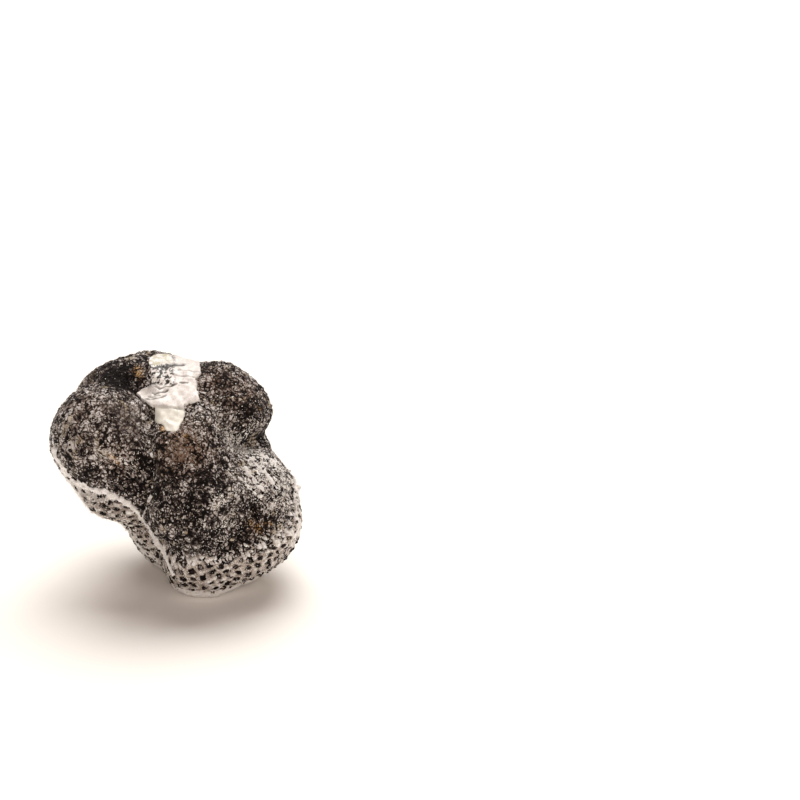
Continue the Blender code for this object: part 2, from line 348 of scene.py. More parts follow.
def beyond_plate(directions):
    """How far outside the ice plate's edge each direction passes, less than zero inside it."""
    out, right, back = plate_axes()
    facing = np.maximum(dot(directions, out), 0.05)
    u = dot(directions, right) / facing * PLATE_ARM * MM - PLATE_MIDDLE[0] * MM
    v = dot(directions, back) / facing * PLATE_ARM * MM - PLATE_MIDDLE[1] * MM
    return np.hypot(u, v) - plate_edge(np.degrees(np.arctan2(v, u)))


def ease(t):
    """3 t^2 - 2 t^3 between 0 and 1, level outside."""
    t = np.clip(t, 0.0, 1.0)
    return t * t * (3.0 - 2.0 * t)


def bed_depth(directions):
    """How far the skin has sunk to the ice plate's bed, 0 at its edge and 1 from the slope inwards."""
    return ease(-beyond_plate(directions) / PLATE_BED_SLOPE)


def skin_reach(directions, plain):
    """The skin's distance from the core: the lobes less folds and hollows, plus low swellings.

    A fold or hollow of depth a and half width w takes off a exp(-(s / w)^2) at a distance s.
    """
    swell = waves(CORE + directions * plain[:, None], SWELL_SEED, SWELL_WAVES, SWELL_LENGTH)
    length = plain + SWELL_HEIGHT * swell
    for points, depth, width in FOLDS.values():
        line = [heading(bearing, elevation) for bearing, elevation in points]
        s = line_distance(directions, line) * plain
        length -= depth * MM * np.exp(-(s / (width * MM)) ** 2)
    for place, depth, width in HOLLOWS.values():
        gap = directions - heading(*place)
        s = np.sqrt((gap ** 2).sum(axis=1)) * plain
        length -= depth * MM * np.exp(-(s / (width * MM)) ** 2)
    return length - PLATE_BED * bed_depth(directions)


def wart_directions():
    """Seeded directions to the warts' tips, pushed apart over the skin until evenly spaced."""
    draw = np.random.default_rng(WART_SEED)
    directions = draw.normal(size=(WART_COUNT, 3))
    directions /= np.sqrt((directions ** 2).sum(axis=1))[:, None]
    for step in range(WART_SPACING_ROUNDS):
        if step % 5 == 0:
            length = reach(directions)
        points = directions * length[:, None]
        push = np.zeros_like(points)
        for row, point in enumerate(points):
            apart = point - points
            distance = np.sqrt((apart ** 2).sum(axis=1))
            near = (distance < WART_REACH) & (distance > 0.0)
            pull = (1.0 - distance[near] / WART_REACH) ** 2 / distance[near]
            push[row] = (apart[near] * pull[:, None]).sum(axis=0)
        points += WART_PUSH * push
        directions = points / np.sqrt((points ** 2).sum(axis=1))[:, None]
    return np.round(directions, 6)


def cube_sphere(cells):
    """Unit directions (tan u, tan v, 1) on a cube's six faces, and their quads, seams merged."""
    t = np.tan(np.linspace(-np.pi / 4, np.pi / 4, cells + 1))
    u, v = np.meshgrid(t, t, indexing="ij")
    faces = []
    for axis in range(3):
        for side in (1.0, -1.0):
            face = np.empty(u.shape + (3,))
            face[..., axis] = side
            face[..., (axis + 1) % 3] = u * side
            face[..., (axis + 2) % 3] = v
            faces.append(face.reshape(-1, 3))
    directions = np.concatenate(faces)
    directions /= np.sqrt((directions ** 2).sum(axis=1))[:, None]
    row, column = np.meshgrid(np.arange(cells), np.arange(cells), indexing="ij")
    corner = (row * (cells + 1) + column).ravel()
    quad = np.stack([corner, corner + cells + 1, corner + cells + 2, corner + 1], axis=1)
    quads = np.concatenate([quad + face * (cells + 1) ** 2 for face in range(6)])
    key = np.round(directions * 1e6).astype(np.int64)
    _, first, merged = np.unique(key, axis=0, return_index=True, return_inverse=True)
    return directions[first], merged.reshape(-1)[quads].tolist()


def nearest_two(points, centres):
    """Index of each point's nearest centre, and the distances to the nearest and the second."""
    index = np.empty(len(points), dtype=np.int64)
    first = np.empty(len(points))
    second = np.empty(len(points))
    for start in range(0, len(points), 4096):
        some = slice(start, start + 4096)
        apart = sum((points[some, None, i] - centres[None, :, i]) ** 2 for i in range(3))
        index[some] = apart.argmin(axis=1)
        two = np.partition(apart, 1, axis=1)[:, :2]
        first[some], second[some] = np.sqrt(two[:, 0]), np.sqrt(two[:, 1])
    return index, first, second


def granules(points, size, seed):
    """Cell pattern of a size: each cube of that side holds one seeded point, and the value is the
    second nearest point's distance less the nearest's, over the size. It is 0 on the borders."""
    scaled = points / size
    cell = np.floor(scaled).astype(np.int64)
    nearest = np.full(len(points), np.inf)
    second = np.full(len(points), np.inf)
    for shift in np.ndindex(3, 3, 3):
        here = cell + np.array(shift) - 1
        mixed = (here[:, 0] * 73856093) ^ (here[:, 1] * 19349663) ^ (here[:, 2] * 83492791)
        mixed = mixed + seed * 2654435
        apart = np.zeros(len(points))
        for axis in range(3):
            mixed = (mixed * 1103515245 + 12345) % 2147483648
            apart += (here[:, axis] + mixed / 2147483648 - scaled[:, axis]) ** 2
        distance = np.sqrt(apart)
        second = np.minimum(second, np.maximum(nearest, distance))
        nearest = np.minimum(nearest, distance)
    return second - nearest


def make_piece(name, points, faces, material, attributes=None):
    """Puts points and faces into a new smooth mesh object that rides on the truffle's body."""
    mesh = bpy.data.meshes.new(name)
    mesh.from_pydata(points.tolist(), [], faces)
    mesh.shade_smooth()
    for label, values in (attributes or {}).items():
        layer = mesh.attributes.new(label, "FLOAT", "POINT")
        layer.data.foreach_set("value", values.astype(np.float32))
    mesh.materials.append(material)
    piece = bpy.data.objects.new(name, mesh)
    bpy.context.scene.collection.objects.link(piece)
    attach(piece, "root")
    return piece


def inside_box(points):
    """Points held within the solid model's box, which also presses the resting spot level."""
    return np.clip(points, np.array(cad_box[0]), np.array(cad_box[1]))


sphere, quads = cube_sphere(CUBE_CELLS)
plain = reach(sphere)
skin = skin_reach(sphere, plain)
warts = wart_directions()
wart_points = CORE + warts * reach(warts)[:, None]
plain_points = CORE + sphere * plain[:, None]
wart_index, near, far = nearest_two(plain_points, wart_points)
border = 2.0 * near / (near + far)          # 0 at a wart's tip, 1 on the border to the next
tip_draw = np.random.default_rng(WART_SEED)
tip_heights = WART_TIP * (1.0 + WART_SPREAD * tip_draw.uniform(-1.0, 1.0, WART_COUNT))
crown = 1.0 - border ** WART_ROUNDNESS
open_skin = np.clip(beyond_plate(sphere) / PLATE_MARGIN, 0.0, 1.0)
wart_relief = -WART_VALLEY + (tip_heights[wart_index] + WART_VALLEY) * crown
upper_side = ease((sphere[:, 2] - WORN_FROM) / WORN_OVER)
wart_relief *= 1.0 - WART_WORN * upper_side
grain = granules(plain_points, GRAIN_SIZE, seed=3)
relief = wart_relief * open_skin + GRAIN_HEIGHT * (np.clip(grain / 0.5, 0.0, 1.0) - 0.5)
skin_points = inside_box(CORE + sphere * (skin + relief)[:, None])
skin_points[:, 2] = np.maximum(skin_points[:, 2], SKIN_CLEAR)

# Where the frost lies: rime that froze in the valleys between the warts, thick underneath, along
# the seam and on the shoulder. The body needs it first, because its bare wart tips are darker.
FROST_LINE = (                # bearing and the elevation up to which the underside is frosted
    (-180, -14), (-140, -8), (-110, 0), (-85, 8), (-67, 12), (-52, 4), (-43, 4), (-36, -1),
    (-31, -18), (-29, -40), (-10, -43), (13, -31), (28, -33), (41, -26), (50, -22), (62, -15),
    (78, -8), (95, -4), (120, -6), (150, -16), (180, -14),
)
FROST_LINE_SOFT = 5.0         # degrees over which the underside's frost sets in
FROST_LINE_SWAY = 2.5         # degrees by which the line wanders up and down
FROST_HIDDEN = -0.50 * MM     # the crust's level against the skin where there is no frost
FROST_RISE = 0.545 * MM       # and how much it rises where the frost is full
FROST_MOST = 2.9              # the amount above which the crust rises no further
FROST_LIP = 1.8               # how much thicker the frost is in clumps along its upper edge
LIP_STARTS = -32.0            # the bearing to the right of which the edge has clumps
LIP_CLUMP = 0.9 * MM
LIP_DEPTH = 1.0               # degrees that the clumps' middle lies below the edge
LIP_WIDTH = 2.6               # and their half width in degrees
RIGHT_STARTS = 10.0           # the bearing from which the edge is broader, and over which
RIGHT_OVER = 30.0
RIGHT_RISE = 4.0              # how much higher and broader it is there, in degrees
RIGHT_WIDTH = 3.4
FOOT_FROST = 0.8              # how much thicker it is round the resting spot
FOOT_TOP = 3.0 * MM
FOOT_SOFT = 2.0 * MM
RIPPLE_LENGTH = 2.2 * MM
WOBBLE_LENGTH = 1.3 * MM
ROUGH_LENGTH = 1.1 * MM
GRIT_SIZE = 0.42 * MM
RIME_WOBBLE = 0.16 * MM       # how far the rime lines wander to either side
FROST_DRIFTS = (              # bearing and elevation in degrees, half width in mm, strength
    ((60, 25), 1.2, 0.7), ((66, 20), 1.4, 0.8), ((71, 17), 1.4, 0.9), ((74, 11), 1.4, 0.8),
    ((77, 4), 1.4, 0.8), ((79, -2), 1.4, 0.8), ((66, 35), 1.2, 0.75), ((60, 38), 0.9, 0.6),
    ((17, 11), 1.0, 0.6), ((22, 8), 0.9, 0.7), ((26, 5), 0.8, 0.6), ((-75, -10), 1.6, 1.0),
    ((-38, 28), 0.5, 1.0), ((-34, 25), 0.4, 1.2), ((-50, 27), 0.4, 0.9), ((60, 6), 2.6, 0.3),
    ((62, -4), 2.6, 0.45), ((72, -22), 3.0, 0.9), ((-73, 22), 1.4, 0.6), ((-68, 17), 1.2, 0.6),
    ((105, 22), 2.0, 0.8), ((160, 30), 1.5, 0.7), ((-110, 12), 2.0, 0.9), ((168, 5), 1.6, 0.7),
    ((95, 8), 2.5, 0.6),
)
RIME_LINES = {                # bearings and elevations, half width in mm, strength
    "seam": (((-62, 5), (-53, 5), (-46, 6), (-37, 1), (-30, -8), (-30, -20), (-30, -34),
              (-25, -44), (-14, -47), (-9, -49)), 0.66, 2.6),
    "seam end": (((-69, 24), (-67, 18), (-66, 10), (-62, 5)), 0.42, 2.0),
    "left rim": (((-70, 5), (-66, -6), (-62, -16), (-64, -26), (-66, -36), (-78, -44), (-84, -52),
                  (-84, -62), (-60, -70)), 1.4, 1.6),
    "crease": (((-20, 36), (-17, 28), (-18, 18), (-17, 7), (-22, -3), (-29, -6)), 0.40, 0.62),
    "shoulder valley": (((58, 36), (50, 32), (44, 26), (38, 20)), 0.5, 0.6),
    "seam branch": (((-27, -11), (-22, -2), (-18, 8)), 0.27, 1.6),
    "high streak": (((54, 23), (56, 14), (57, 6)), 0.28, 1.7),
    "middle streak": (((46, 21), (48, 13), (50, 6)), 0.30, 1.8),
    "low streak": (((38, 17), (43, 10), (47, 3)), 0.28, 1.7),
    "brow": (((8, 57), (14, 55), (20, 52), (29, 47), (34, 41)), 0.40, 0.85),
    "back crease": (((168, 50), (163, 42), (157, 20), (166, -4)), 0.6, 0.7),
    "left gully": (((-98, 36), (-110, 20), (-106, -2)), 0.6, 0.8),
}
FROST_SEED = 21


def frost_amount(directions, distances, points):
    """How much frost lies on the skin, 0 for none and 1 where it fills the valleys.

    The underside below the frost line and the clumps along it, plus drifts and rime lines of
    strength exp(-(s / w)^2) at a distance s, roughened by waves and by granules.
    """
    bearing = np.degrees(np.arctan2(directions[:, 0], -directions[:, 1]))
    elevation = np.degrees(np.arcsin(np.clip(directions[:, 2], -1.0, 1.0)))
    bearings, elevations = zip(*FROST_LINE)
    below = np.interp(bearing, bearings, elevations) - elevation
    ripple = waves(points, FROST_SEED, 12, RIPPLE_LENGTH)
    wobble = waves(points, FROST_SEED + 2, 12, WOBBLE_LENGTH)
    amount = ease((below + FROST_LINE_SWAY * ripple) / FROST_LINE_SOFT + 0.5)
    amount += FOOT_FROST * ease((FOOT_TOP - points[:, 2]) / FOOT_SOFT)
    right = ease((bearing - RIGHT_STARTS) / RIGHT_OVER)
    from_lip = (below - LIP_DEPTH + RIGHT_RISE * right) / (LIP_WIDTH + RIGHT_WIDTH * right)
    clumps = np.clip(granules(points, LIP_CLUMP, seed=14) * 3.2 - 0.55, 0.0, 1.3)
    amount += FROST_LIP * np.exp(-from_lip ** 2) * (bearing > LIP_STARTS) * clumps
    for place, width, strength in FROST_DRIFTS:
        s = np.sqrt(((directions - heading(*place)) ** 2).sum(axis=1)) * distances
        amount += strength * np.exp(-(s / (width * MM)) ** 2) * (1.0 - 0.6 * amount)
    for places, width, strength in RIME_LINES.values():
        s = line_distance(directions, [heading(*p) for p in places]) * distances
        s += RIME_WOBBLE * wobble
        amount = np.maximum(amount, strength * np.exp(-(s / (width * MM)) ** 2))
    rough = 0.10 * waves(points, FROST_SEED + 1, 16, ROUGH_LENGTH) + 0.09 * ripple
    grit = granules(points, GRIT_SIZE, seed=8)
    lumps = 0.22 + 0.6 * ease(amount - 1.1)
    return np.maximum(amount + (rough + lumps * (grit - 0.35)) * ease(amount * 2.0), 0.0)


frost_cover = frost_amount(sphere, plain, plain_points)
frost_level = FROST_HIDDEN + FROST_RISE * np.minimum(frost_cover, FROST_MOST)
crust_points = inside_box(CORE + sphere * (skin + frost_level)[:, None])

# The skin's material: dry fungus skin with no gloss, near black in its fine wrinkles and brownish
# grey on the ridges between them. Painted shade and painted light, brown and frost-dusted areas are
# laid over it by bearing.
SKIN_RAMPS = {                # colours from the bottom of a wrinkle to the top of a ridge
    "grey": ((0.08, "0D0806"), (0.44, "3E3431"), (0.70, "90867F"), (0.96, "DAD5D2")),
    "brown": ((0.06, "0D0806"), (0.50, "7C5F4A"), (1.0, "90867F")),
    "ochre": ((0.0, "0D0806"), (0.35, "C29256"), (1.0, "E0C49A")),
}
SKIN_OLIVE = "A8946C"
DUST_WHITE = "FFFBF6"
SKIN_ROUGHNESS = 0.55
SKIN_BUMP = 0.24 * MM
BEND_SIZE = 0.8 * MM          # the slow noise that bends the finer patterns
BEND_SHIFT = 0.9 * MM         # and how far it moves them
CELL_SIZE = 0.90 * MM
STRAND_WAY = (0.525, 0.291, -0.80)  # the way that the frost strands run down the shoulder
STRAND_DRAW = -0.78           # draws the strands' pattern out to four and a half times its size
SKIN_NOISES = {               # where it is laid, size in mm, detail and roughness
    "specks": ("straight", 0.34, 3.0, 0.7),
    "clumps": ("straight", 3.0, 2.0, 0.5),
    "blotches": ("bent", 1.15, 2.0, 0.55),
    "curls": ("straight", 1.5, 1.0, 0.5),
    "bubbles": ("bent", 0.80, 1.0, 0.5),
    "furrows": ("bent", 2.2, 1.0, 0.5),
    "olive": ("straight", 2.2, 2.0, 0.5),
    "flakes": ("bent", 0.42, 3.0, 0.65),
    "strands": ("drawn out", 0.42, 2.0, 0.6),
}
CURL_TURNS = 5.5              # how many times the curls' level is folded back and forth
BUBBLE_TURNS = 3.5
RIDGE_TOP = 0.50              # a ridge's lightness above the wrinkle beside it
CURL_WRINKLE = 0.17           # the level below which a curl, a cell and a furrow are wrinkles
CELL_WRINKLE = 0.20
FURROW_WRINKLE = 0.045
FURROW_DARK = 0.38            # what a furrow leaves of a ridge
CURLY_CALM = 0.75             # how much of the blotches goes where the ridges curl
SKIN_DARKNESS = -1.93         # the lightness before the patterns' shares are added
SMOOTH_LIGHTNESS = 0.52
BORDER_SHADE = 0.62            # how much painted shade darkens the skin on the borders between the warts
BORDER_WORN = 0.44            # and how much of that is gone on the upper side
BORDER_WIDTH = 0.22
TIP_DARK = 1.1                # how much darker the wart tips are that stand out of the frost
OCHRE_BETWEEN = 0.35          # what is left of the ochre between the granules
GRAIN_EDGE = 0.12
SKIN_AREAS = {                # bearing and elevation in degrees, half width in mm, strength
    "brown": (
        ((5, 38), 4.2, 1.0), ((-38, 27), 2.2, 0.5), ((43, -12), 2.2, 0.4), ((74, 56), 3.5, 0.35),
        ((-60, 40), 4.0, 0.25), ((150, 20), 4.0, 0.6), ((-150, 10), 3.5, 0.5), ((62, 73), 3.0, 0.4),
    ),
    "ochre": (
        ((-96, 68), 0.6, 1.5), ((-40, 27), 0.4, 1.0), ((-38, 25), 0.3, 0.9), ((-13, 50), 0.55, 1.4),
        ((40, -9), 0.5, 0.7), ((44, -12), 0.6, 0.9), ((49, -10), 0.5, 0.6), ((6, 44), 0.4, 0.7),
        ((76, 44), 0.4, 0.7), ((172, 30), 0.6, 0.9), ((-132, 5), 0.5, 0.9), ((120, 40), 0.5, 0.8),
    ),
    "tone": (                 # painted light where the strength is above zero, painted shade where it is below, deepest in the hollows
        ((-80, 63), 3.4, -1.1), ((-100, 56), 4.5, -1.1), ((72, 46), 4.5, -0.6), ((8, 20), 4.8, -0.7),
        ((10, 2), 5.0, -0.25), ((-5, 22), 3.0, -0.4), ((-30, 12), 3.8, -0.6), ((93, 27), 2.6, -1.3),
        ((-130, 40), 5.0, -0.4), ((140, 0), 6.0, -0.4), ((-18, 24), 1.6, -0.9),
        ((-16, 12), 1.8, -0.7), ((45, -5), 1.2, -1.6), ((28, 41), 1.1, -0.9), ((-24, 32), 2.2, -0.6),
        ((-45, 44), 5.0, 0.35), ((-60, 34), 4.0, 0.1), ((30, 55), 4.0, 0.2), ((48, 60), 4.0, -0.15),
        ((20, 10), 2.2, 0.5), ((5, 4), 4.0, 0.2), ((12, -15), 4.0, -0.3), ((40, 25), 3.0, 0.25),
        ((-60, 16), 3.0, 0.3), ((-88, 51), 3.0, -0.4), ((66, 60), 2.2, -0.8), ((88, 55), 1.2, 0.9),
        ((60, -2), 4.0, 0.4), ((-44, 27), 2.4, 0.4), ((-50, 10), 2.5, -0.4),
    ),
    "curly": (                # where the ridges wind like worms instead of lying in granules
        ((-95, 45), 4.0, 1.0), ((-67, 39), 3.5, 1.0), ((-57, 27), 2.8, 0.9), ((-100, 30), 5.0, 0.6),
        ((80, 60), 4.0, 0.5), ((150, 40), 5.0, 0.5), ((-160, 25), 4.0, 0.5),
    ),
    "smooth": (
        ((-47, 50), 2.6, 0.65), ((-37, 42), 2.0, 0.5), ((0, 30), 1.6, 0.3), ((-140, 50), 3.0, 0.4),
    ),
    "dust": (
        ((44, 12), 3.5, 0.3), ((60, 8), 4.5, 0.3), ((62, -8), 4.5, 0.45), ((21, 8), 1.5, 0.9),
        ((64, 36), 1.6, 1.1), ((24, -8), 4.0, 0.25), ((-38, 27), 2.0, 0.5), ((52, 42), 2.6, 0.5),
        ((-100, 30), 5.0, 0.3), ((170, 50), 6.0, 0.4), ((110, 20), 5.0, 0.6), ((-70, 20), 2.5, 0.6),
        ((70, 20), 1.8, 0.7),
    ),
    "strands": (
        ((62, 22), 2.6, 1.0), ((70, 14), 2.4, 1.0), ((64, 32), 1.8, 0.8), ((50, 14), 2.8, 0.75),
        ((62, 2), 3.0, 0.7), ((76, 2), 2.6, 0.9), ((110, 20), 5.0, 0.5), ((40, 16), 2.0, 0.5),
    ),
}


def areas(directions, distances, spots):
    """Sum over round areas of strength exp(-(s / w)^2), at a distance s over the surface."""
    total = np.zeros(len(directions))
    for place, width, strength in spots:
        s = np.sqrt(((directions - heading(*place)) ** 2).sum(axis=1)) * distances
        total += strength * np.exp(-(s / (width * MM)) ** 2)
    return np.clip(total, -1.5, 1.5)


marks = {label: areas(sphere, plain, spots) for label, spots in SKIN_AREAS.items()}
# Painted shade in the valleys between the warts: the skin is darker on their borders, less so on the
# upper side, where the warts are worn low.
border_line = ease(1.0 - (1.0 - border) / BORDER_WIDTH)
marks["open"] = 1.0 - (BORDER_SHADE - BORDER_WORN * upper_side) * border_line
# The bare wart tips' own darker colour is added to the painted shade and light.
marks["tone"] -= TIP_DARK * ease((frost_cover - 0.35) / 0.5)
marks["ochre"] = np.clip(marks["ochre"], 0.0, 1.0) * np.where(grain > GRAIN_EDGE, 1.0, OCHRE_BETWEEN)
marks["curly"] = np.minimum(marks["curly"], 1.0)

skin_material = new_material("black_truffle_skin")
mark = {label: node(skin_material, "Attribute", attribute_name=label)["Fac"] for label in marks}
place = node(skin_material, "TexCoord")["Object"]
bend = node(skin_material, "TexNoise", vector=place, scale=1.0 / BEND_SIZE, detail=1.0)["Color"]
bent = node(skin_material, "VectorMath", bend, (BEND_SHIFT,) * 3, place, operation="MULTIPLY_ADD")[0]
along = node(skin_material, "VectorMath", place, STRAND_WAY, operation="PROJECT")[0]
drawn_out = node(
    skin_material, "VectorMath", along, (STRAND_DRAW,) * 3, place, operation="MULTIPLY_ADD",
)[0]
laid = {"straight": place, "bent": bent, "drawn out": drawn_out}
noise = {
    name: node(
        skin_material, "TexNoise", vector=laid[way], scale=1.0 / (size * MM),
        detail=detail, roughness=roughness,
    )[0]
    for name, (way, size, detail, roughness) in SKIN_NOISES.items()
}
cells = node(
    skin_material, "TexVoronoi", feature="DISTANCE_TO_EDGE", vector=bent, scale=1.0 / CELL_SIZE,
)["Distance"]
# Folded back and forth, one noise gives ridges that wind and another ridges that close.
for name, turns in (("curls", CURL_TURNS), ("bubbles", BUBBLE_TURNS)):
    level = node(skin_material, "Math", noise[name], turns, operation="MULTIPLY")[0]
    noise[name] = node(skin_material, "Math", level, 0.5, operation="PINGPONG")[0]
off = node(skin_material, "Math", noise["furrows"], 0.5, operation="SUBTRACT")[0]
off = node(skin_material, "Math", off, operation="ABSOLUTE")[0]
curl_ridge, cell_ridge, furrow = (
    node(
        skin_material, "MapRange", value, 0.0, wrinkle, low, high, interpolation_type="SMOOTHSTEP",
    )[0]
    for value, wrinkle, low, high in (
        (noise["curls"], CURL_WRINKLE, 0.0, RIDGE_TOP),
        (cells, CELL_WRINKLE, 0.0, RIDGE_TOP),
        (off, FURROW_WRINKLE, FURROW_DARK, 1.0),
    )
)
fine_ridge = node(
    skin_material, "Math", noise["bubbles"], 0.9, cell_ridge, operation="MULTIPLY_ADD",
)[0]
wound_ridge = node(skin_material, "Math", curl_ridge, 1.2, 0.04, operation="MULTIPLY_ADD")[0]
ridge = node(skin_material, "Mix", factor=mark["curly"], a=fine_ridge, b=wound_ridge)[0]
# The ridges are darkened by the painted shade between the warts and by the furrows.
for operation, value in (("ADD", curl_ridge), ("MULTIPLY", mark["open"]), ("MULTIPLY", furrow)):
    ridge = node(skin_material, "Math", ridge, value, operation=operation)[0]
calm = node(skin_material, "Math", mark["curly"], CURLY_CALM, operation="MULTIPLY")[0]
calmed = node(skin_material, "Mix", factor=calm, a=noise["blotches"], b=0.5)[0]
# The lightness is a weighted sum of the patterns and of the painted shade and light, and it picks each
# ramp's colour.
lightness = SKIN_DARKNESS
for value, share in (
    (ridge, 1.0), (calmed, 1.15), (noise["specks"], 0.65), (noise["clumps"], 1.30),
    (mark["tone"], 0.27),
):
    lightness = node(skin_material, "Math", value, share, lightness, operation="MULTIPLY_ADD")[0]
lightness = node(skin_material, "Mix", factor=mark["smooth"], a=lightness, b=SMOOTH_LIGHTNESS)[0]
dust = noise["flakes"]
for value, share in ((mark["dust"], 0.17), (noise["clumps"], 0.15)):
    dust = node(skin_material, "Math", value, share, dust, operation="MULTIPLY_ADD")[0]
strands = node(
    skin_material, "Math", mark["strands"], 0.22, noise["strands"], operation="MULTIPLY_ADD",
)[0]
dust = node(skin_material, "Math", dust, strands, operation="MAXIMUM")[0]
olive, ridge_tops, dusted, not_deep = (
    node(
        skin_material, "MapRange", value, low, high, 0.0, top, interpolation_type="SMOOTHSTEP",
    )[0]
    for value, low, high, top in (
        (noise["olive"], 0.56, 0.70, 0.55), (lightness, 0.3, 0.8, 1.0),
        (dust, 0.70, 0.78, 1.0), (lightness, -0.05, 0.25, 1.0),
    )
)
olive = node(skin_material, "Math", olive, ridge_tops, operation="MULTIPLY")[0]
dusted = node(skin_material, "Math", dusted, not_deep, operation="MULTIPLY")[0]
ramp = {
    name: node(skin_material, "ValToRGB", lightness, stops=stops)[0]
    for name, stops in SKIN_RAMPS.items()
}
skin_colour = ramp["grey"]
for share, colour in (
    (olive, SKIN_OLIVE), (mark["brown"], ramp["brown"]), (mark["ochre"], ramp["ochre"]),
    (dusted, DUST_WHITE),
):
    skin_colour = node(
        skin_material, "Mix", data_type="RGBA", factor=share, a=skin_colour, b=colour,
    )[2]
height = node(skin_material, "Math", noise["specks"], 0.6, ridge, operation="MULTIPLY_ADD")[0]
bump = node(skin_material, "Bump", strength=1.0, distance=SKIN_BUMP, height=height)[0]
skin_shader = node(
    skin_material, "BsdfPrincipled", base_color=skin_colour, roughness=SKIN_ROUGHNESS,
    specular_ior_level=0.08, normal=bump,
)
node(skin_material, "OutputMaterial", skin_shader[0])
body = make_piece("truffle_body", skin_points, quads, skin_material, marks)
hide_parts("truffle")

# The frost: white rime that froze in the valleys between the warts, so that only their dark tips
# stand out of it. It is thick underneath and along the seam, and lies in drifts on the shoulder.
FROST_DULL = ((0.34, "776B61"), (0.48, "B3A89E"), (0.62, "E4DBD2"))
FROST_WHITEST = ((0.34, "D2C8C0"), (0.45, "F8F3EF"), (0.56, "FFFFFF"))
FROST_STAIN = "6F6258"
FROST_THIN = "66554A"         # where it is so thin that the skin shows through
FROST_EARTH_AND_SHADE = "5F5046"
FROST_GRAIN = 0.25 * MM
STAIN_SIZE = 1.2 * MM
THIN_FROST = 0.16 * MM
UNDER_MOST = 0.8              # how much of a thin area's colour, or of the earth and painted shade, shows
FROST_BUMP = 0.15 * MM
EARTH_AND_SHADE_AREAS = (              # where the frost is darker brown: partly earth that it has taken up, partly painted shade under the seam and on the underside, as in SKIN_AREAS
    ((-52, -3), 2.2, 0.7), ((-42, -7), 2.0, 0.7), ((-63, 3), 1.6, 0.5), ((-36, -24), 1.8, 0.7),
    ((-38, -38), 1.8, 0.7), ((-26, -42), 1.4, 0.6), ((120, -20), 4.0, 0.4), ((-130, -25), 4.0, 0.4),
)
frost_marks = {
    "thin": UNDER_MOST * (1.0 - ease((frost_level - relief) / THIN_FROST)),
    "earthy": UNDER_MOST * areas(sphere, plain, EARTH_AND_SHADE_AREAS),
    # Whiter where the frost lies thick, and painted light: whiter all over the upper side.
    "clean": np.maximum(ease((frost_cover - 1.0) / 0.4), 0.8 * ease((sphere[:, 2] + 0.1) / 0.25)),
}
frost_material = new_material("packed_frost")  # light soaks in, so it looks soft and has no edges
thin, earthy, clean = (
    node(frost_material, "Attribute", attribute_name=label)["Fac"] for label in frost_marks
)
place = node(frost_material, "TexCoord")["Object"]
crystals, stains = (
    node(
        frost_material, "TexNoise", vector=place, scale=1.0 / size, detail=3.0, roughness=roughness,
    )[0]
    for size, roughness in ((FROST_GRAIN, 0.7), (STAIN_SIZE, 0.6))
)
stained = node(
    frost_material, "MapRange", stains, 0.44, 0.68, 0.0, 0.7, interpolation_type="SMOOTHSTEP",
)[0]
frost_colour, whitest_colour = (
    node(frost_material, "ValToRGB", crystals, stops=stops)[0] for stops in (FROST_DULL, FROST_WHITEST)
)
# The earth and painted shade darken the frost under the seam and on the underside.
for share, colour in (
    (stained, FROST_STAIN), (thin, FROST_THIN), (earthy, FROST_EARTH_AND_SHADE), (clean, whitest_colour),
):
    frost_colour = node(
        frost_material, "Mix", data_type="RGBA", factor=share, a=frost_colour, b=colour,
    )[2]
bump = node(frost_material, "Bump", strength=0.9, distance=FROST_BUMP, height=crystals)[0]
frost_shader = node(
    frost_material, "BsdfPrincipled", base_color=frost_colour, roughness=0.45,
    subsurface_weight=0.25, subsurface_radius=(0.6 * MM, 0.6 * MM, 0.7 * MM), subsurface_scale=1.0,
    normal=bump,
)
node(frost_material, "OutputMaterial", frost_shader[0])
crust = make_piece("frost_crust", crust_points, quads, frost_material, frost_marks)

# Frost crystals: loose grains a quarter of a millimetre across that stand on the frost crust and
# are scattered over the dark skin, thickest on the shoulder. Each one is an eight-faced crystal.
CRYSTAL_SEED = 31
CRUST_CRYSTALS = 9000
CRUST_SIZES = (0.06 * MM, 0.14 * MM)     # least and greatest half width
SKIN_CRYSTALS = 6000
SKIN_SIZES = (0.06 * MM, 0.13 * MM)
CRYSTAL_SHIFT = 0.10 * MM     # about how far each one is moved off its grid point
STRAY_SHARE = 0.03            # how thickly they lie where the skin isn't dusty
PATCHY_LENGTH = 3.0 * MM
CRYSTAL_WHITE = "F7F2EC"
CRYSTAL_CORNERS = np.array(
    ((1, 0, 0), (-1, 0, 0), (0, 1, 0), (0, -1, 0), (0, 0, 1), (0, 0, -1)), dtype=float,
)
CRYSTAL_FACES = np.array(
    ((0, 2, 4), (2, 1, 4), (1, 3, 4), (3, 0, 4), (2, 0, 5), (1, 2, 5), (3, 1, 5), (0, 3, 5)),
)


